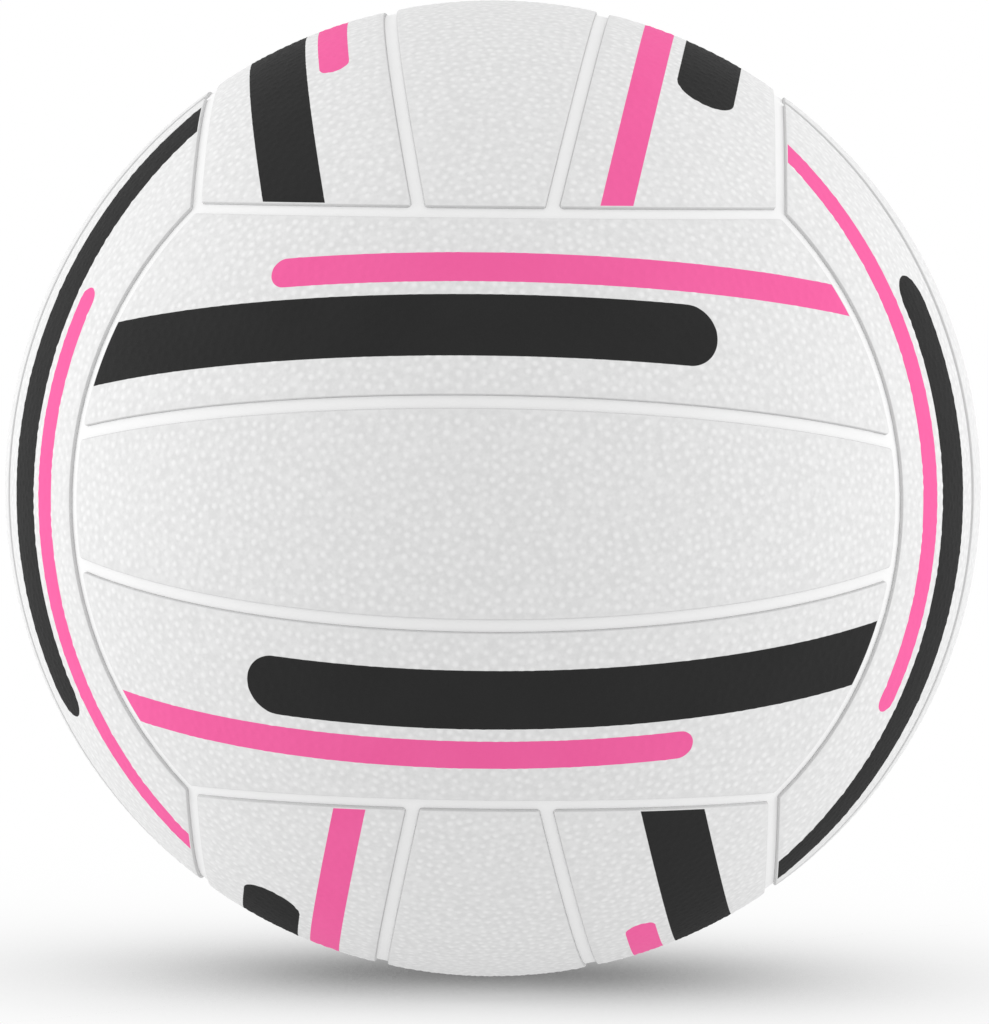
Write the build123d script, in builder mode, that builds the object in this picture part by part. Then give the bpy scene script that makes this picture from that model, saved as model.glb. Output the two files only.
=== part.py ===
"""A size 5 netball: raised rubber panels on a ribbed carcass, over a yarn winding and an inflated bladder.

The ball's centre is the origin and +Z is up. The front of the ball faces -Y and its valve faces +Y.
The panels lie in six groups of three strips, one group on each side of a cube, and each group's strips
run square to those of its neighbours. All sizes are in millimetres, and all angles in degrees.
"""

import os
from math import asin, cos, degrees, pi, radians, sin, sqrt

from build123d import *

# Cover
CIRCUMFERENCE = 700.0  # round the faces of the panels
SEAM_TILT = 12.5  # each seam inside a group is a great circle, tilted this far off the group's middle
PANEL_THICKNESS = 1.25
CHANNEL_WIDTH = 2.9  # from panel wall to panel wall, across a seam
CORNER_ROUND = 0.8  # at each corner of a panel, seen from outside
EDGE_ROUND = 0.3  # along the outer edge of a panel

# Layers under the cover
RIB_HEIGHT = 0.4  # ribs of the carcass, which stand in the channels between the panels
RIB_CLEARANCE = 0.05  # between a rib and the wall of a panel
GLUE_LINE = 0.05  # between two faces that are glued together
CARCASS_WALL = 0.55
WINDING_WALL = 0.3
BLADDER_WALL = 0.5

# Valve core, a soft plug; its depths are measured from the valve's face
VALVE_RECESS = 0.4  # from the face of the panel down to the valve's face
NEEDLE_RADIUS = 0.9
NEEDLE_DEPTH = 10.0
FUNNEL_FLARE = 0.7  # how much wider than the needle hole its mouth is, all round
FUNNEL_DEPTH = 0.7
SLIT_WIDTH = 0.3
SLIT_LENGTH = 2.4
SLIT_DEPTH = 3.0  # from the end of the needle hole to the core's inner end
SHANK_RADIUS = 2.1
HEAD_OVERHANG = 0.8  # how much wider than the shank the head is, all round
HEAD_HEIGHT = 1.2
BULB_OVERHANG = 0.9  # how much wider than the shank the bulb is that locks the core in its boot
BULB_HEIGHT = 4.0  # from the core's inner end up to the middle of the bulb

# Valve boot, the core's seat, glued to the inside of the bladder
CORE_CLEARANCE = 0.05  # between the core and the boot, all round
STEM_WALL = 0.95  # round the core's head
STEM_CLEARANCE = 0.1  # in the holes through the wall of the ball
NIPPLE_WALL = 1.55  # round the core's bulb
NIPPLE_FLOOR = 2.0  # below the core
NIPPLE_ROUND = 1.5
FLANGE_RADIUS = 12.0
FLANGE_WALL = 1.0
AIR_RADIUS = 1.2  # way out of the boot, below the core
HOLE_CHAMFER = 0.4  # round the mouth of the panel's hole

# Radii of the layers, from the outside in
ball_radius = CIRCUMFERENCE / (2 * pi)
panel_inside = ball_radius - PANEL_THICKNESS
pocket_floor = panel_inside - GLUE_LINE
rib_top = pocket_floor + RIB_HEIGHT
winding_outside = pocket_floor - CARCASS_WALL
bladder_outside = winding_outside - WINDING_WALL
bladder_inside = bladder_outside - BLADDER_WALL
flange_outside = bladder_inside - GLUE_LINE
flange_inside = flange_outside - FLANGE_WALL

# Valve radii, and places along the valve's axis as distances from the ball's centre
head_radius = SHANK_RADIUS + HEAD_OVERHANG
bulb_radius = SHANK_RADIUS + BULB_OVERHANG
stem_radius = head_radius + CORE_CLEARANCE + STEM_WALL
nipple_radius = bulb_radius + CORE_CLEARANCE + NIPPLE_WALL
hole_radius = stem_radius + STEM_CLEARANCE
valve_face = ball_radius - VALVE_RECESS
needle_end = valve_face - NEEDLE_DEPTH
core_end = needle_end - SLIT_DEPTH
nipple_end = core_end - CORE_CLEARANCE - NIPPLE_FLOOR

# Directions
ORIGIN = Vector(0, 0, 0)
RIGHT = Vector(1, 0, 0)
REAR = Vector(0, 1, 0)
UP = Vector(0, 0, 1)

# Outward direction, long direction of the strips, direction across the strips, and the strips' names
GROUPS = {
    "front": (-REAR, RIGHT, UP, ("lower", "centre", "upper")),
    "back": (REAR, RIGHT, UP, ("lower", "centre", "upper")),
    "right": (RIGHT, UP, REAR, ("front", "centre", "rear")),
    "left": (-RIGHT, UP, REAR, ("front", "centre", "rear")),
    "top": (UP, REAR, RIGHT, ("left", "centre", "right")),
    "bottom": (-UP, REAR, RIGHT, ("left", "centre", "right")),
}
VALVE_PANEL = "back_centre_panel"

# The seam between two groups is a circle of latitude through the corners of the cube
CORNER_LATITUDE = degrees(asin(1 / sqrt(3)))
CUT_REACH = 2.0  # how far a cutting solid runs past what it cuts
ROUND_LIMIT = 0.8  # largest share of a wall that a rounded edge may take


def sector(pole, side, inner, outer, first_angle, last_angle):
    """A piece of a ring round the ball's centre, between two angles measured from side towards pole."""
    with BuildSketch(Plane(ORIGIN, x_dir=side, z_dir=side.cross(pole))) as ring:
        with BuildLine():
            far = CenterArc((0, 0), outer, first_angle, last_angle - first_angle)
            near = CenterArc((0, 0), inner, first_angle, last_angle - first_angle)
            Line(far @ 0, near @ 0)
            Line(far @ 1, near @ 1)
        make_face()
    return ring.sketch


def strip_of_shell(group, place, inner, outer, set_back, corner_round):
    """One strip of a group, between two radii, with its walls set back from the middle of each seam.

    place is -1, 0 or 1, counted along the group's across direction.
    """
    outward, along, across, _ = GROUPS[group]
    away = across * (place or 1)
    low_tilt, high_tilt = (SEAM_TILT, 90 - CORNER_LATITUDE) if place else (-SEAM_TILT, SEAM_TILT)
    start = outward * cos(radians(low_tilt)) + away * sin(radians(low_tilt))
    set_back_angle = degrees(asin(set_back / ball_radius))
    low, high = inner - CUT_REACH, outer + CUT_REACH

    # A band of the shell, and the round cuts for its two ends and for the outer wall of a side strip
    band = sector(start, along, inner, outer, CORNER_LATITUDE / 2, 180 - CORNER_LATITUDE / 2)
    end_cut = sector(outward, across, low, high, CORNER_LATITUDE + set_back_angle, 90)
    side_cut = sector(away, -outward, low, high, CORNER_LATITUDE - set_back_angle, 90)

    with BuildPart() as strip:
        revolve(band, axis=Axis(ORIGIN, outward.cross(away)), revolution_arc=high_tilt - low_tilt)
        revolve(end_cut, axis=Axis(ORIGIN, outward), mode=Mode.INTERSECT)
        if place:
            revolve(side_cut, axis=Axis(ORIGIN, away), mode=Mode.SUBTRACT)
        # Flat walls along the seams with the other strips of the group
        for side in (-1, 1):
            inward = outward * sin(radians(SEAM_TILT)) - across * side * cos(radians(SEAM_TILT))
            if place == 0:
                split(bisect_by=Plane(inward * set_back, z_dir=inward), keep=Keep.TOP)
            elif place == side:
                split(bisect_by=Plane(inward * -set_back, z_dir=inward), keep=Keep.BOTTOM)
        corners = strip.edges().sort_by(SortBy.LENGTH)[:4]
        fillet(corners, corner_round)
    return strip.part


def shell(outer, inner):
    """A hollow ball with a hole through its wall for the valve."""
    with BuildPart() as ball:
        Sphere(outer)
        Sphere(inner, mode=Mode.SUBTRACT)
        with BuildSketch(Plane.XZ):
            Circle(hole_radius)
        extrude(amount=-ball_radius, mode=Mode.SUBTRACT)
    return ball.part


def core_section(growth):
    """Half of the valve core's section, with its round sides and its inner end moved out by growth."""
    with BuildSketch() as section:
        with Locations((0, valve_face)):
            Rectangle(head_radius + growth, HEAD_HEIGHT, align=(Align.MIN, Align.MAX))
            shank_length = valve_face - core_end + growth
            Rectangle(SHANK_RADIUS + growth, shank_length, align=(Align.MIN, Align.MAX))
        with Locations((0, core_end + BULB_HEIGHT)):
            Circle(bulb_radius + growth)
        split(bisect_by=Plane.YZ, keep=Keep.TOP)
    return section.sketch


pieces = {}

# Panels, and the pockets of the carcass that they sit in
pockets = []
for group, (_, _, _, strip_names) in GROUPS.items():
    for place, strip_name in zip((-1, 0, 1), strip_names):
        name = f"{group}_{strip_name}_panel"
        sharp_panel = strip_of_shell(group, place, panel_inside, ball_radius, CHANNEL_WIDTH / 2, CORNER_ROUND)
        with BuildPart() as panel:
            add(sharp_panel)
            outside = panel.faces().sort_by(SortBy.AREA)[-1]
            fillet(outside.edges(), min(EDGE_ROUND, PANEL_THICKNESS * ROUND_LIMIT))
            if name == VALVE_PANEL:
                with BuildSketch(Plane.XZ):
                    Circle(hole_radius)
                extrude(amount=-ball_radius - CUT_REACH, mode=Mode.SUBTRACT)
                mouth = panel.edges().filter_by(lambda edge: edge.is_closed).sort_by(Axis.Y)[-1]
                chamfer(mouth, HOLE_CHAMFER)
        pieces[name] = panel.part

        rib_half = CHANNEL_WIDTH / 2 - RIB_CLEARANCE
        pocket_round = CORNER_ROUND + RIB_CLEARANCE
        pockets.append(strip_of_shell(group, place, pocket_floor, rib_top + CUT_REACH, rib_half, pocket_round))

# Carcass, with its ribs left standing between the pockets
ribbed_shell = shell(rib_top, winding_outside)
with BuildPart() as carcass:
    add(ribbed_shell)
    add(pockets, mode=Mode.SUBTRACT)
pieces["carcass"] = carcass.part

# Winding and bladder
pieces["winding"] = shell(winding_outside, bladder_outside)
pieces["bladder"] = shell(bladder_outside, bladder_inside)

# Valve boot: a stem through the ball's wall, a flange under the bladder and a nipple
core_seat = core_section(CORE_CLEARANCE)
with BuildPart() as valve_boot:
    with BuildSketch():
        Circle(flange_outside)
        Circle(flange_inside, mode=Mode.SUBTRACT)
        Rectangle(FLANGE_RADIUS, ball_radius, align=(Align.MIN, Align.MIN), mode=Mode.INTERSECT)
        with Locations((0, valve_face)):
            Rectangle(stem_radius, valve_face - flange_inside, align=(Align.MIN, Align.MAX))
        with Locations((0, nipple_end)):
            nipple_length = (flange_inside + flange_outside) / 2 - nipple_end
            Rectangle(nipple_radius, nipple_length, align=(Align.MIN, Align.MIN))
    revolve(axis=Axis.Y)
    inner_rim = valve_boot.edges().sort_by(Axis.Y)[0]
    fillet(inner_rim, min(NIPPLE_ROUND, NIPPLE_FLOOR * ROUND_LIMIT))
    revolve(core_seat, axis=Axis.Y, mode=Mode.SUBTRACT)
    with BuildSketch(Plane.XZ):
        Circle(AIR_RADIUS)
    extrude(amount=-valve_face, mode=Mode.SUBTRACT)
pieces["valve_boot"] = valve_boot.part

# Valve core, with a funnelled needle hole that ends in a slit
core_outline = core_section(0)
with BuildPart() as valve_core:
    revolve(core_outline, axis=Axis.Y)
    with BuildSketch():
        with BuildLine():
            Polyline(
                (0, valve_face),
                (NEEDLE_RADIUS + FUNNEL_FLARE, valve_face),
                (NEEDLE_RADIUS, valve_face - FUNNEL_DEPTH),
                (NEEDLE_RADIUS, needle_end),
                (0, needle_end),
                close=True,
            )
        make_face()
    revolve(axis=Axis.Y, mode=Mode.SUBTRACT)
    with BuildSketch(Plane.XZ.offset(-needle_end)):
        Rectangle(SLIT_LENGTH, SLIT_WIDTH)
    extrude(amount=SLIT_DEPTH, mode=Mode.SUBTRACT)
pieces["valve_core"] = valve_core.part

os.makedirs("parts", exist_ok=True)
for name, piece in pieces.items():
    piece.label = name
    export_step(piece, f"parts/{name}.step")
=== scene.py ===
"""Looks of a size 5 netball: pebbled rubber panels, smooth channels, a print in two colours, and a valve.

Each panel of the frame is replaced by a finer one with the same outline, whose pebbles are real bumps.
"""

from math import acos, asin, ceil, cos, pi, radians, sin, sqrt

import bpy
import numpy as np
from mathutils import Matrix, Vector
from mathutils.geometry import delaunay_2d_cdt


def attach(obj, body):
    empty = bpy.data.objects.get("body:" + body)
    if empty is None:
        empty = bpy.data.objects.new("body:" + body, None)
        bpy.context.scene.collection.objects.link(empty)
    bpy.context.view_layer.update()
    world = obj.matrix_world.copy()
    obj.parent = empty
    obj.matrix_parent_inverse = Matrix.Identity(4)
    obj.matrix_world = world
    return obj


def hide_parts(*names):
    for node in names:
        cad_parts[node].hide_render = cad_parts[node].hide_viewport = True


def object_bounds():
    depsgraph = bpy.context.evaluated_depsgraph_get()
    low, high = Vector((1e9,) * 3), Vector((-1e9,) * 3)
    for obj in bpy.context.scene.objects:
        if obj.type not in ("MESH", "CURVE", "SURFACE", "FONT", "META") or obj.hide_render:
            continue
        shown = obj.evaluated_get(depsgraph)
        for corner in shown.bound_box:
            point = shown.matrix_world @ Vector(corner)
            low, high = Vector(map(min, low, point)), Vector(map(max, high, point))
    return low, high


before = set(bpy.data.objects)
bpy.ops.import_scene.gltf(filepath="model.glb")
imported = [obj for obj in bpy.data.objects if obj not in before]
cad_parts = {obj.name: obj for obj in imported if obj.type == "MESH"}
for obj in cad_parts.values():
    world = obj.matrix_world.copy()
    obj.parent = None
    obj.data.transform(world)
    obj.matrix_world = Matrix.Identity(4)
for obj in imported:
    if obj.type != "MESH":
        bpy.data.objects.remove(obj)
cad_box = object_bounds()

MM = 0.001

# Sizes shared with the solids
BALL_RADIUS = (cad_box[1].x - cad_box[0].x) / 2
SEAM_TILT = radians(12.5)  # of the seams beside a centre panel, from the middle of the group
CORNER_LATITUDE = asin(1 / sqrt(3))  # of the corners where three groups meet
PANEL_THICKNESS = 1.25 * MM
CHANNEL_WIDTH = 2.9 * MM
CORNER_ROUND = 0.8 * MM
EDGE_ROUND = 0.3 * MM
HOLE_RADIUS = 4.0 * MM
HOLE_CHAMFER = 0.4 * MM

# Pebbles
PEBBLE_SPACING = 2.05 * MM  # least way between two middles
PLACE_STEP = PEBBLE_SPACING / 5  # between the places that the middles are picked from
PEBBLE_RADIUS = 1.02 * MM
PEBBLE_HEIGHT = 0.15 * MM  # of the highest one
PEBBLE_SPREAD = 0.25  # how far heights differ from the mean, as a share of it
PEBBLE_RINGS = ((0.55, 6), (1.0, 10))  # share of the radius, and corners
SMOOTH_MARGIN = 0.35 * MM  # bare strip inside the rounded edge
PEBBLE_SEED = 5

# Print: two bars along each outer panel, each running off one end
BLACK_MIDDLE, BLACK_WIDTH = 17 * MM, 14 * MM  # from the seam with the centre panel
PINK_MIDDLE, PINK_WIDTH = 30.5 * MM, 7 * MM
BAR_REACH = 46 * MM  # from the panel's middle to the middle of the bar's rounded end
RUN_OFF = 150 * MM  # well past the panel's end
PRINT_ACROSS = 44 * MM  # twice the way from the seam to the middle of the print
SWAPPED_GROUPS = ("top", "bottom")  # pink next to the centre panel
INK_MARGIN = 0.4 * MM  # bare strip along the panel's edge
INK_BLUR = 0.06 * MM

# Mesh steps
RING_STEP = 0.9 * MM
CORNER_STEPS = 6
EDGE_STEPS = 4
HOLE_STEPS = 48
INSIDE_STEP = 7 * MM
INSIDE_MARGIN = INSIDE_STEP / 3
LATTICE_REACH = 1.1  # ball radii, past half the length of any panel
LATITUDE_LIMIT = 1.0  # radians, past the ends of any panel
INSIDE_LOOPS = 1  # Blender's number for a triangulation of what the loops enclose
SAME_POINT = 1e-9  # points nearer than this count as one
SHARP_ANGLE = radians(50)

# Long direction of the strips, direction across them, and the strips' names along that direction
RIGHT, REAR, UP = Vector((1, 0, 0)), Vector((0, 1, 0)), Vector((0, 0, 1))
GROUPS = {
    "front": (RIGHT, UP, ("lower", "centre", "upper")),
    "back": (-RIGHT, UP, ("lower", "centre", "upper")),
    "right": (UP, -REAR, ("rear", "centre", "front")),
    "left": (UP, REAR, ("front", "centre", "rear")),
    "top": (REAR, -RIGHT, ("right", "centre", "left")),
    "bottom": (REAR, RIGHT, ("left", "centre", "right")),
}
VALVE_PANEL = "back_centre_panel"


def grey(level):
    return (level, level, level)


# Colours, as dark and light ends of their slight variation
GROUND_WHITE = (grey(0.71), grey(0.77))
# Painted highlight on the pebbles' tops, paler the higher they stand
PEBBLE_TOP_HIGHLIGHT = (grey(0.80), grey(0.86))
# Painted shade on the panels' walls, in the recesses of the seams
WALL_PAINTED_SHADE = (grey(0.58), grey(0.64))
CHANNEL_WHITE = (grey(0.86), grey(0.89))
BLACK_INK = (grey(0.021), grey(0.026))
PINK_INK = ((0.85, 0.112, 0.34), (0.89, 0.135, 0.375))
BLADDER_BLACK = (grey(0.02), (0.07, 0.07, 0.065))
BOOT_GREY = (grey(0.5), grey(0.58))
CORE_BLACK = (grey(0.018), grey(0.03))
YARN_COLOURS = ((0.42, 0.40, 0.36), (0.78, 0.76, 0.70))  # between threads, darker as painted shade, and on them

# Finish of the panels
PANEL_CLOUD = 14 * MM  # size of the slow changes of colour
GROUND_MOTTLE = 1.6 * MM  # size of the spots between pebbles
PANEL_GRAIN = 0.3 * MM
PANEL_GRAIN_DEPTH = 0.03 * MM
PANEL_ROUGHNESS = (0.5, 0.65)
PANEL_SPECULAR = 0.1
HIGHLIGHT_HEIGHT = 0.8  # share of the full height from which a pebble's top has the full painted highlight
WALL_SHADE_FADE = 0.05 * MM  # way in from the outline at which the wall's painted shade begins to fade
INK_DULLNESS = 0.25  # roughness added by ink

# Finish of the inner rubbers: material's name, colours, roughness, and the grain's size and depth
INNER_RUBBERS = {
    "carcass": ("carcass_rubber", CHANNEL_WHITE, (0.55, 0.7), 0.5 * MM, 0.01 * MM),
    "bladder": ("bladder_rubber", BLADDER_BLACK, (0.5, 0.8), 2 * MM, 0.05 * MM),
    "valve_boot": ("boot_rubber", BOOT_GREY, (0.45, 0.6), 0.4 * MM, 0.02 * MM),
    "valve_core": ("core_rubber", CORE_BLACK, (0.35, 0.5), 0.4 * MM, 0.02 * MM),
}
RUBBER_CLOUD = 12 * MM
RUBBER_SPECULAR = 0.2

# Finish of the winding
YARN_DIRECTIONS = ("X", "Y", "DIAGONAL")
YARN_SCALE = 400.0
YARN_WANDER = 1.5
YARN_DETAIL = 1.0
YARN_ROUGHNESS = (0.8, 0.55)  # between threads, and on them
YARN_DEPTH = 0.1 * MM
YARN_STRENGTH = 1.0

# Noise and grain of all materials
NOISE_DETAIL = 2.0
NOISE_LOW, NOISE_HIGH = 0.3, 0.7  # most of the noise lies between these
GRAIN_STRENGTH = 0.5

# Light
WHITE = (1, 1, 1, 1)
WORLD_FILL = 0.92

# Softboxes: azimuth from the front and elevation in degrees, distance and side in metres, power in watts
SOFTBOXES = {
    "left_softbox": (-95, 4, 1.2, 0.8, 4.8),
    "right_softbox": (95, 4, 1.2, 0.8, 4.2),
    "top_softbox": (0, 70, 1.3, 1.0, 1.0),
}

# Floor
FLOOR_HALF = 30.0
SHADOW_LEAN = radians(27)  # the painted shadow is reckoned as if the floor were lit from both sides, this far off upright
SHADOW_REACH = 10 * BALL_RADIUS
SHADOW_DEPTH = 0.92
SHADOW_FALL = 2.7

# Camera, from the photograph's seams and outline
PHOTO_WIDTH, PHOTO_HEIGHT = 989, 1024
BALL_X, BALL_Y, BALL_PIXELS = 492.84, 488.21, 488.22  # the outline's centre and radius
CAMERA_DISTANCE = 14.4 * BALL_RADIUS
CAMERA_AZIMUTH = radians(1.44)
CAMERA_ELEVATION = radians(2.93)
CAMERA_ROLL = radians(0.57)


# Panel outlines, on a unit ball in the group's own axes: x along the strips, y across, z outwards

def unit(vectors):
    return vectors / np.linalg.norm(vectors, axis=-1, keepdims=True)


def panel_sides(is_centre):
    """The four bounding circles, anticlockwise from the upper one: each one's pole, and reach from it."""
    upper_seam = np.array((0, -cos(SEAM_TILT), sin(SEAM_TILT)))
    lower_seam = np.array((0, cos(SEAM_TILT), sin(SEAM_TILT)))
    outward = np.array((0.0, 0, 1))
    set_back = CHANNEL_WIDTH / 2 / BALL_RADIUS
    end = (outward, pi / 2 - CORNER_LATITUDE - set_back)
    if is_centre:
        return [(upper_seam, pi / 2 - set_back), end, (lower_seam, pi / 2 - set_back), end]
    outer_wall = (np.array((0.0, -1, 0)), pi / 2 + CORNER_LATITUDE - set_back)
    return [outer_wall, end, (-upper_seam, pi / 2 - set_back), end]


def meeting_point(first, second, inset, x_sign):
    """Where two sides, both moved in by inset, meet, at the end of the panel with that sign of x."""
    (pole_a, reach_a), (pole_b, reach_b) = first, second
    cos_a, cos_b = cos(reach_a - inset), cos(reach_b - inset)
    cos_between = pole_a @ pole_b
    share_a = (cos_a - cos_between * cos_b) / (1 - cos_between * cos_between)
    share_b = (cos_b - cos_between * cos_a) / (1 - cos_between * cos_between)
    flat = share_a * pole_a + share_b * pole_b
    normal = unit(np.cross(pole_a, pole_b))
    normal *= np.sign(normal[0]) * x_sign
    return flat + normal * sqrt(1 - flat @ flat)


def outline_spine(sides):
    """Points one corner radius inside the outline, and the outward direction along the ball at each."""
    inset = CORNER_ROUND / BALL_RADIUS
    x_signs = (-1, -1, 1, 1)
    corners = [meeting_point(sides[i], sides[(i + 1) % 4], inset, x_signs[i]) for i in range(4)]
    points, directions = [], []
    for i, (pole, reach) in enumerate(sides):
        start, end = corners[i - 1], corners[i]

        # Along the side
        along = unit(start - (start @ pole) * pole)
        across = np.cross(pole, along)
        turn = np.arctan2(end @ across, end @ along)
        radius = sin(reach - inset)
        steps = ceil(abs(turn) * radius * BALL_RADIUS / RING_STEP)
        angles = np.linspace(0, turn, steps + 1)[:, None]
        spoke = np.cos(angles) * along + np.sin(angles) * across
        points.append(cos(reach - inset) * pole + radius * spoke)
        directions.append(cos(reach - inset) * spoke - radius * pole)

        # Round the corner to the next side
        next_pole = sides[(i + 1) % 4][0]
        first = directions[-1][-1]
        last = unit((end @ next_pole) * end - next_pole)
        shares = np.linspace(0, 1, CORNER_STEPS + 1)[1:-1, None]
        angle = acos(first @ last)
        between = np.sin((1 - shares) * angle) * first + np.sin(shares * angle) * last
        points.append(np.repeat(end[None], len(shares), axis=0))
        directions.append(between / sin(angle))
    return np.concatenate(points), np.concatenate(directions)


def ring_at(spine, inset):
    """The outline, moved in by inset."""
    points, directions = spine
    angle = (CORNER_ROUND - inset) / BALL_RADIUS
    return cos(angle) * points + sin(angle) * directions


def inset_of(points, sides):
    """How far inside the outline each point lies, in metres."""
    distances = [reach - np.arccos(np.clip(points @ pole, -1, 1)) for pole, reach in sides]
    return np.min(distances, axis=0) * BALL_RADIUS


# Panel meshes

def lattice(sides, has_hole, middle_tilt, pitch, margin):
    """Points in staggered rows over the panel, at least the margin away from its outline and its hole."""
    half = int(LATTICE_REACH * BALL_RADIUS / pitch) + 1
    numbers = np.arange(-half, half + 1)
    row, place = np.meshgrid(numbers, numbers, indexing="ij")
    latitude = ((place + 0.5 * (row % 2)) * pitch / BALL_RADIUS).ravel()
    longitude = middle_tilt + (row * pitch * sqrt(3) / 2 / BALL_RADIUS).ravel() / np.cos(latitude)
    across = np.cos(latitude) * np.sin(longitude)
    outwards = np.cos(latitude) * np.cos(longitude)
    points = np.stack((np.sin(latitude), across, outwards), axis=1)
    kept = (abs(latitude) < LATITUDE_LIMIT) & (inset_of(points, sides) > margin)
    if has_hole:
        from_valve = np.arccos(np.clip(outwards, -1, 1)) * BALL_RADIUS
        kept &= from_valve > HOLE_RADIUS + HOLE_CHAMFER + margin
    return points[kept]


def scattered(points, spacing, random):
    """Some of the points, in no order, none nearer to another than the spacing."""
    kept = np.empty_like(points)
    count = 0
    for point in random.permutation(points):
        if not np.any(kept[:count] @ point > cos(spacing / BALL_RADIUS)):
            kept[count] = point
            count += 1
    return kept[:count]


def pebbles(sides, has_hole, middle_tilt):
    """Points of all the pebbles of a panel, and each point's share of the pebbles' full height."""
    random = np.random.default_rng(PEBBLE_SEED)
    margin = EDGE_ROUND + SMOOTH_MARGIN + PEBBLE_RADIUS
    places = lattice(sides, has_hole, middle_tilt, PLACE_STEP, margin)
    centres = scattered(places, PEBBLE_SPACING, random)
    size = 1 + PEBBLE_SPREAD * random.uniform(-1, 1, len(centres))
    phase = random.uniform(0, 2 * pi, (len(centres), 1))
    along = unit(np.array((1.0, 0, 0)) - centres[:, :1] * centres)[:, None]
    across = np.cross(centres[:, None], along)
    points, heights = [centres], [size]
    for share, corners in PEBBLE_RINGS:
        angle = share * PEBBLE_RADIUS / BALL_RADIUS
        turn = (phase + np.arange(corners) * 2 * pi / corners)[..., None]
        spoke = np.cos(turn) * along + np.sin(turn) * across
        points.append((cos(angle) * centres[:, None] + sin(angle) * spoke).reshape(-1, 3))
        heights.append(np.repeat(size * (1 - share**2) ** 2, corners))
    highest = 1 + PEBBLE_SPREAD
    return np.concatenate(points), np.concatenate(heights) / highest


def triangles(points, loops, middle_tilt):
    """Triangles between points of the ball, inside the first loop of them and outside any other.

    The loops turn anticlockwise, so a triangle with its corners all on the outline lies inside it
    only where their numbers rise.
    """
    middle = np.array((0, sin(middle_tilt), cos(middle_tilt)))
    along = np.array((1.0, 0, 0))
    across = np.cross(middle, along)
    flat = np.stack((points @ along, points @ across), axis=1) / (1 + points @ middle)[:, None]
    edges = [(loop[i - 1], loop[i]) for loop in loops for i in range(len(loop))]
    flat_points = [Vector(point) for point in flat]
    result = delaunay_2d_cdt(flat_points, edges, [], INSIDE_LOOPS, SAME_POINT, True)
    _, _, faces, sources, _, _ = result
    first_source = np.array([numbers[0] for numbers in sources])
    faces = first_source[np.array(faces)]
    outline, *holes = loops
    on_outline = np.isin(faces, outline).all(axis=1)
    rising = (faces < np.roll(faces, -1, axis=1)).sum(axis=1) == 2
    faces = faces[rising | ~on_outline]
    for loop in holes:
        faces = faces[~np.isin(faces, loop).all(axis=1)]
    return faces


def strip_between(first, second):
    """Triangles between two closed rings of as many points, the first one outside or below."""
    a, b = np.array(first), np.array(second)
    next_a, next_b = np.roll(a, -1), np.roll(b, -1)
    return np.concatenate((np.stack((a, next_a, next_b), axis=1), np.stack((a, next_b, b), axis=1)))


def panel_shape(is_centre, has_hole):
    """Vertices, triangles, pebbles' heights and places for the print, in the axes of the panel's group."""
    sides = panel_sides(is_centre)
    spine = outline_spine(sides)
    middle_tilt = 0.0 if is_centre else (SEAM_TILT + CORNER_LATITUDE) / 2
    directions, depths, grains, faces = [], [], [], []
    count = 0

    def put(points, depth, grain=0.0):
        """Adds points at a depth below the ball's surface, and gives their numbers."""
        nonlocal count
        directions.append(points)
        depths.append(np.broadcast_to(depth, len(points)))
        grains.append(np.broadcast_to(grain, len(points)))
        count += len(points)
        return list(range(count - len(points), count))

    # Wall and rounded edge, from the inside outwards
    rings = [put(ring_at(spine, 0), PANEL_THICKNESS)]
    for step in range(EDGE_STEPS + 1):
        angle = pi / 2 * step / EDGE_STEPS
        inset = EDGE_ROUND * (1 - cos(angle))
        rings.append(put(ring_at(spine, inset), PEBBLE_HEIGHT + EDGE_ROUND * (1 - sin(angle))))
    faces += [strip_between(low, high) for low, high in zip(rings, rings[1:])]
    loops = [range(len(rings[0]))]

    # Wall of the valve's hole, from the outside inwards
    hole_top, hole_bottom = [], []
    if has_hole:
        turn = np.arange(HOLE_STEPS) * 2 * pi / HOLE_STEPS
        profile = (
            (HOLE_RADIUS + HOLE_CHAMFER, PEBBLE_HEIGHT),
            (HOLE_RADIUS, PEBBLE_HEIGHT + HOLE_CHAMFER),
            (HOLE_RADIUS, PANEL_THICKNESS),
        )
        hole_rings = []
        for radius, depth in profile:
            side = radius / BALL_RADIUS
            height = np.full(HOLE_STEPS, sqrt(1 - side**2))
            circle = np.stack((side * np.cos(turn), side * np.sin(turn), height), axis=1)
            hole_rings.append(put(circle, depth))
        faces += [strip_between(high, low) for high, low in zip(hole_rings, hole_rings[1:])]
        hole_top, hole_bottom = hole_rings[0], hole_rings[-1]
        loops.append(range(len(rings[0]), len(rings[0]) + HOLE_STEPS))

    # Outer face
    points, grain = pebbles(sides, has_hole, middle_tilt)
    top = rings[-1] + hole_top + put(points, PEBBLE_HEIGHT * (1 - grain), grain)
    every = np.concatenate(directions)
    faces.append(np.array(top)[triangles(every[top], loops, middle_tilt)])

    # Inner face
    points = lattice(sides, has_hole, middle_tilt, INSIDE_STEP, INSIDE_MARGIN)
    bottom = rings[0] + hole_bottom + put(points, PANEL_THICKNESS)
    every = np.concatenate(directions)
    faces.append(np.array(bottom)[triangles(every[bottom], loops, middle_tilt)][:, ::-1])

    # Place of each vertex for the print: along the strip, across it from the seam, and in from the outline
    seam_line = np.array((0, sin(SEAM_TILT), cos(SEAM_TILT)))
    seam_pole = np.array((0, cos(SEAM_TILT), -sin(SEAM_TILT)))
    along = np.arctan2(every[:, 0], every @ seam_line) * BALL_RADIUS
    across = np.arcsin(every @ seam_pole) * BALL_RADIUS
    place = np.stack((along, across, inset_of(every, sides)), axis=1)
    depth = np.concatenate(depths)
    return every * (BALL_RADIUS - depth)[:, None], np.concatenate(faces), np.concatenate(grains), place


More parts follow.
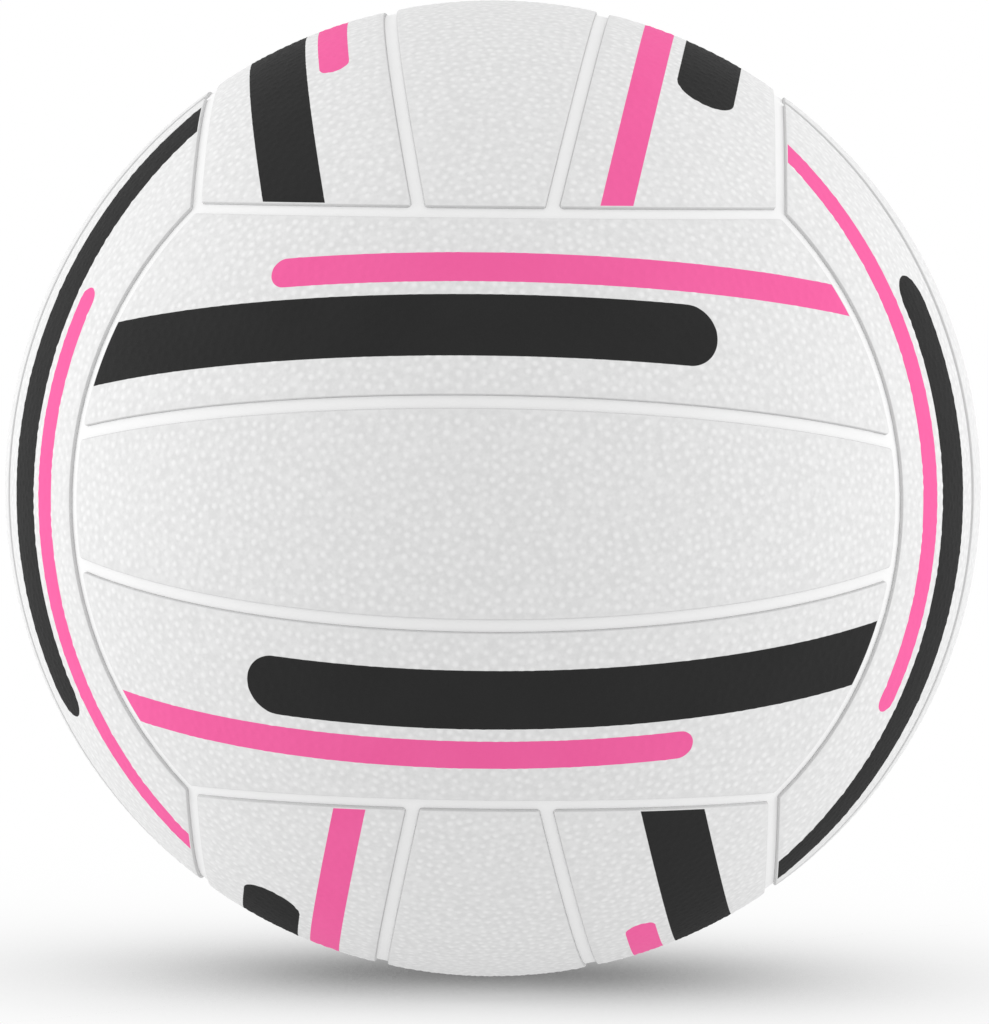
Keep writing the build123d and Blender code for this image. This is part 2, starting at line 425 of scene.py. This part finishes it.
def with_bars_swapped(shape):
    """The same panel with its print mirrored across the strip."""
    vertices, faces, grain, place = shape
    mirrored = np.array((0, PRINT_ACROSS, 0)) + place * np.array((1, -1, 1))
    return vertices, faces, grain, mirrored


def add_panel(name, shape, turn, material):
    vertices, faces, grain, place = shape
    mesh = bpy.data.meshes.new(name)
    mesh.from_pydata((vertices @ np.array(turn).T).tolist(), [], faces.tolist())
    mesh.attributes.new("grain", "FLOAT", "POINT").data.foreach_set("value", grain.astype(np.float32))
    places = mesh.attributes.new("print_place", "FLOAT_VECTOR", "POINT")
    places.data.foreach_set("vector", place.astype(np.float32).ravel())
    mesh.shade_smooth()
    mesh.set_sharp_from_angle(angle=SHARP_ANGLE)
    mesh.materials.append(material)
    piece = bpy.data.objects.new(name + "_pebbled", mesh)
    bpy.context.collection.objects.link(piece)
    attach(piece, "root")
    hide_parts(name)


# Shader nodes

def feed(tree, target, inputs):
    """Sets inputs of a node; each is a value, or an output of another node to link."""
    for name, value in inputs.items():
        if isinstance(value, bpy.types.NodeSocket):
            tree.links.new(value, target.inputs[name])
        else:
            target.inputs[name].default_value = value


def node(tree, kind, inputs=None, **settings):
    """Adds a shader node."""
    made = tree.nodes.new("ShaderNode" + kind)
    for name, value in settings.items():
        setattr(made, name, value)
    feed(tree, made, inputs or {})
    return made


def noise(tree, size):
    """Noise over the object, with features of about that size in metres."""
    place = node(tree, "TexCoord").outputs["Object"]
    inputs = {"Vector": place, "Scale": 1 / size, "Detail": NOISE_DETAIL}
    return node(tree, "TexNoise", inputs).outputs["Fac"]


def spread(tree, value, low, high, start=NOISE_LOW, end=NOISE_HIGH):
    """A value that goes from low to high as another one goes from start to end."""
    inputs = {"Value": value, "From Min": start, "From Max": end, "To Min": low, "To Max": high}
    return node(tree, "MapRange", inputs, interpolation_type="SMOOTHSTEP").outputs["Result"]


def mixed(tree, share, first, second):
    """A colour between two others, by a share from 0 to 1."""
    inputs = {"Fac": share}
    for socket, colour in (("Color1", first), ("Color2", second)):
        inputs[socket] = (*colour, 1) if isinstance(colour, tuple) else colour
    return node(tree, "MixRGB", inputs).outputs["Color"]


def calculated(tree, operation, first, second):
    return node(tree, "Math", {0: first, 1: second}, operation=operation).outputs["Value"]


def relief(tree, height, depth, strength):
    inputs = {"Height": height, "Distance": depth, "Strength": strength}
    return node(tree, "Bump", inputs).outputs["Normal"]


def show(tree, output, seen, lighting):
    """Gives rays that see, direct, reflected or let through, one shader, and rays that light another."""
    rays = node(tree, "LightPath").outputs
    is_seen = calculated(tree, "MAXIMUM", rays["Is Camera Ray"], rays["Is Glossy Ray"])
    is_seen = calculated(tree, "MAXIMUM", is_seen, rays["Is Transmission Ray"])
    both = node(tree, "MixShader", {0: is_seen, 1: lighting, 2: seen}).outputs["Shader"]
    tree.links.new(both, tree.nodes[output].inputs["Surface"])


# Materials

def new_material(name):
    """A material, its node tree and its shader."""
    material = bpy.data.materials.new(name)
    material.use_nodes = True
    tree = material.node_tree
    return material, tree, tree.nodes["Principled BSDF"]


def inner_rubber(name, colours, roughness, grain_size, grain_depth):
    """A rubber with a cloudy colour between two, roughness between two, and a fine grain."""
    material, tree, shader = new_material(name)
    fine = noise(tree, grain_size)
    inputs = {
        "Base Color": mixed(tree, noise(tree, RUBBER_CLOUD), *colours),
        "Roughness": spread(tree, fine, *roughness),
        "Specular IOR Level": RUBBER_SPECULAR,
        "Normal": relief(tree, fine, grain_depth, GRAIN_STRENGTH),
    }
    feed(tree, shader, inputs)
    return material


def ink_share(tree, place, middle, width, start, end):
    """1 on a bar with rounded ends, and 0 elsewhere."""
    parts = node(tree, "SeparateXYZ", {"Vector": place}).outputs
    flat = node(tree, "CombineXYZ", {"X": parts["X"], "Y": parts["Y"]}).outputs["Vector"]
    nearest = node(tree, "Clamp", {"Value": parts["X"], "Min": start, "Max": end}).outputs["Result"]
    spine = node(tree, "CombineXYZ", {"X": nearest, "Y": middle}).outputs["Vector"]
    distance = node(tree, "VectorMath", {0: flat, 1: spine}, operation="DISTANCE").outputs["Value"]
    inside = spread(tree, distance, 1, 0, width / 2 - INK_BLUR, width / 2 + INK_BLUR)
    on_face = spread(tree, parts["Z"], 0, 1, INK_MARGIN - INK_BLUR, INK_MARGIN + INK_BLUR)
    return calculated(tree, "MULTIPLY", inside, on_face)


def panel_rubber():
    """White rubber with a painted highlight on the pebbles' tops and painted shade on its walls, and the
    print over it.
    """
    material, tree, shader = new_material("panel_rubber")
    clouds = noise(tree, PANEL_CLOUD)
    fine = noise(tree, PANEL_GRAIN)
    height = node(tree, "Attribute", attribute_name="grain").outputs["Fac"]
    place = node(tree, "Attribute", attribute_name="print_place").outputs["Vector"]

    # Rubber, with a painted highlight on the pebbles' tops and painted shade on the walls
    ground = mixed(tree, spread(tree, noise(tree, GROUND_MOTTLE), 0, 1), *GROUND_WHITE)
    # Pebble tops: painted highlight, mixed in by the pebble's height
    highlighted_tops = mixed(tree, clouds, *PEBBLE_TOP_HIGHLIGHT)
    face = mixed(tree, spread(tree, height, 0, 1, 0, HIGHLIGHT_HEIGHT), ground, highlighted_tops)
    # Walls and rounded edges: painted shade, fading out towards the face
    painted_wall_shade = mixed(tree, clouds, *WALL_PAINTED_SHADE)
    inset = node(tree, "SeparateXYZ", {"Vector": place}).outputs["Z"]
    colour = mixed(tree, spread(tree, inset, 0, 1, WALL_SHADE_FADE, EDGE_ROUND), painted_wall_shade, face)

    # Print
    black = ink_share(tree, place, BLACK_MIDDLE, BLACK_WIDTH, -RUN_OFF, BAR_REACH)
    pink = ink_share(tree, place, PINK_MIDDLE, PINK_WIDTH, -BAR_REACH, RUN_OFF)
    colour = mixed(tree, black, colour, mixed(tree, clouds, *BLACK_INK))
    colour = mixed(tree, pink, colour, mixed(tree, clouds, *PINK_INK))
    inked = calculated(tree, "MAXIMUM", black, pink)
    dullness = calculated(tree, "MULTIPLY", inked, INK_DULLNESS)

    inputs = {
        "Base Color": colour,
        "Roughness": calculated(tree, "ADD", spread(tree, fine, *PANEL_ROUGHNESS), dullness),
        "Specular IOR Level": PANEL_SPECULAR,
        "Normal": relief(tree, fine, PANEL_GRAIN_DEPTH, GRAIN_STRENGTH),
    }
    feed(tree, shader, inputs)
    return material


def yarn():
    """Fine threads wound in three directions, darker between them as painted shade."""
    material, tree, shader = new_material("nylon_yarn")
    place = node(tree, "TexCoord").outputs["Object"]
    wave = {"Vector": place, "Scale": YARN_SCALE, "Distortion": YARN_WANDER, "Detail": YARN_DETAIL}
    threads = 0.0
    for direction in YARN_DIRECTIONS:
        turns = node(tree, "TexWave", wave, bands_direction=direction).outputs["Fac"]
        threads = calculated(tree, "MAXIMUM", threads, turns)
    inputs = {
        "Base Color": mixed(tree, threads, *YARN_COLOURS),
        "Roughness": spread(tree, threads, *YARN_ROUGHNESS),
        "Normal": relief(tree, threads, YARN_DEPTH, YARN_STRENGTH),
    }
    feed(tree, shader, inputs)
    return material


def set_material(name, material):
    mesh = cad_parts[name].data
    mesh.materials.clear()
    mesh.materials.append(material)


# Studio

def add_floor():
    """A white glow with the ball's soft shadow painted into it from occlusion where it is seen, and clear
    to the fill from below.
    """
    corners = [(x * FLOOR_HALF, y * FLOOR_HALF, 0) for x, y in ((-1, -1), (1, -1), (1, 1), (-1, 1))]
    mesh = bpy.data.meshes.new("floor")
    mesh.from_pydata(corners, [], [range(4)])
    floor = bpy.data.objects.new("floor", mesh)
    floor.location.z = -BALL_RADIUS
    bpy.context.collection.objects.link(floor)
    material, tree, shader = new_material("floor")
    tree.nodes.remove(shader)
    skies = []
    for lean in (-SHADOW_LEAN, SHADOW_LEAN):
        direction = node(tree, "CombineXYZ", {"X": sin(lean), "Z": cos(lean)}).outputs["Vector"]
        sky = node(tree, "AmbientOcclusion", {"Distance": SHADOW_REACH, "Normal": direction})
        skies.append(sky.outputs["AO"])
    hidden = calculated(tree, "SUBTRACT", 1.0, calculated(tree, "MINIMUM", *skies))
    shade = calculated(tree, "MULTIPLY", SHADOW_DEPTH, calculated(tree, "POWER", hidden, SHADOW_FALL))
    brightness = calculated(tree, "SUBTRACT", 1.0, shade)
    # The floor glows, and the ball's shadow is painted into the glow from the occlusion above it
    white = node(tree, "Emission", {"Strength": brightness}).outputs["Emission"]
    clear = node(tree, "BsdfTransparent").outputs["BSDF"]
    show(tree, "Material Output", white, clear)
    mesh.materials.append(material)


def add_world():
    """White where it is seen, and a plain fill otherwise."""
    world = bpy.data.worlds.new("studio")
    bpy.context.scene.world = world
    world.use_nodes = True
    tree = world.node_tree
    tree.nodes.remove(tree.nodes["Background"])
    white = node(tree, "Background", {"Color": WHITE, "Strength": 1.0}).outputs["Background"]
    fill = node(tree, "Background", {"Color": WHITE, "Strength": WORLD_FILL}).outputs["Background"]
    show(tree, "World Output", white, fill)


def facing_ball(azimuth, elevation):
    """The turn of a lamp or camera that looks at the ball's middle from that side."""
    return Matrix.Rotation(azimuth, 3, "Z") @ Matrix.Rotation(pi / 2 - elevation, 3, "X")


def add_softbox(name, azimuth, elevation, distance, side, power):
    """A square lamp that faces the ball."""
    lamp = bpy.data.lights.new(name, "AREA")
    lamp.shape = "SQUARE"
    lamp.size = side
    lamp.energy = power
    box = bpy.data.objects.new(name, lamp)
    turn = facing_ball(radians(azimuth), radians(elevation))
    box.matrix_world = turn.to_4x4() @ Matrix.Translation((0, 0, distance))
    bpy.context.collection.objects.link(box)


def add_camera():
    camera = bpy.data.objects.new("camera", bpy.data.cameras.new("camera"))
    bpy.context.collection.objects.link(camera)
    turn = facing_ball(CAMERA_AZIMUTH, CAMERA_ELEVATION) @ Matrix.Rotation(CAMERA_ROLL, 3, "Z")
    camera.matrix_world = turn.to_4x4() @ Matrix.Translation((0, 0, CAMERA_DISTANCE))
    focal_pixels = BALL_PIXELS * sqrt((CAMERA_DISTANCE / BALL_RADIUS) ** 2 - 1)
    camera.data.lens = camera.data.sensor_width * focal_pixels / PHOTO_HEIGHT
    camera.data.shift_x = (PHOTO_WIDTH / 2 - BALL_X) / PHOTO_HEIGHT
    camera.data.shift_y = (BALL_Y - PHOTO_HEIGHT / 2) / PHOTO_HEIGHT
    bpy.context.scene.camera = camera


# Inner pieces
for name, finish in INNER_RUBBERS.items():
    set_material(name, inner_rubber(*finish))
set_material("winding", yarn())

# Panels
shapes = {
    "centre": panel_shape(is_centre=True, has_hole=False),
    "valve": panel_shape(is_centre=True, has_hole=True),
    "side": panel_shape(is_centre=False, has_hole=False),
}
shapes["swapped_side"] = with_bars_swapped(shapes["side"])
panel_material = panel_rubber()
half_turn = Matrix.Rotation(pi, 3, "Z")
for group, (along, across, strip_names) in GROUPS.items():
    axes = Matrix((along, across, along.cross(across))).transposed()
    for side, strip_name in zip((-1, 0, 1), strip_names):
        name = f"{group}_{strip_name}_panel"
        if side:
            shape = shapes["swapped_side" if group in SWAPPED_GROUPS else "side"]
        else:
            shape = shapes["valve" if name == VALVE_PANEL else "centre"]
        add_panel(name, shape, axes @ half_turn if side < 0 else axes, panel_material)

# Floor, light and camera
add_floor()
add_world()
for name, placing in SOFTBOXES.items():
    add_softbox(name, *placing)
add_camera()
bpy.context.scene.view_settings.view_transform = "Standard"
